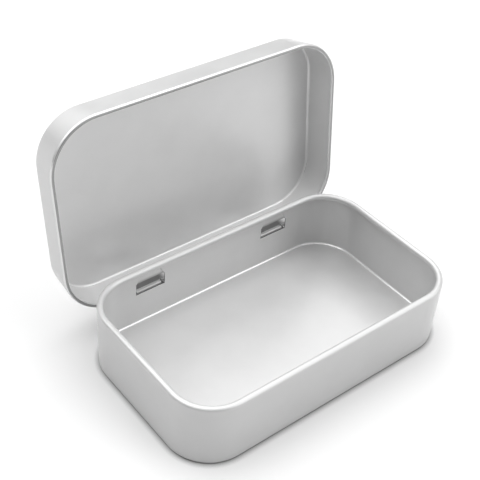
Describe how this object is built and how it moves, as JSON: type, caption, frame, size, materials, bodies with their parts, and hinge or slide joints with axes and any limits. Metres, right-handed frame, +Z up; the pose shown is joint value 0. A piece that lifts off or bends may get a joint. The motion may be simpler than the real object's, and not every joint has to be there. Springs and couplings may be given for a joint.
{
  "type": "hinged tin",
  "caption": "Shallow rounded-rectangle mint tin in plain tinplate, its lid hinged open on knuckles curled round bars on the tray.",
  "frame": {"origin": "middle of the tray's underside, on the surface that the tin stands on", "axes": "+X along the tin's length and parallel to the hinge, +Y from the front wall towards the hinge wall, +Z up"},
  "size_m": [0.0946, 0.0725, 0.0675],
  "materials": {
    "tinplate": "satin"
  },
  "bodies": {
    "tray": {"tray": "tinplate"},
    "lid": {"lid": "tinplate"}
  },
  "joints": [
    {"name": "lid_hinge", "type": "hinge", "parent": "tray", "child": "lid", "pos_m": [0, 0.0283, 0.0104], "axis": [1, 0, 0], "range_deg": [0, 96.6]}
  ]
}
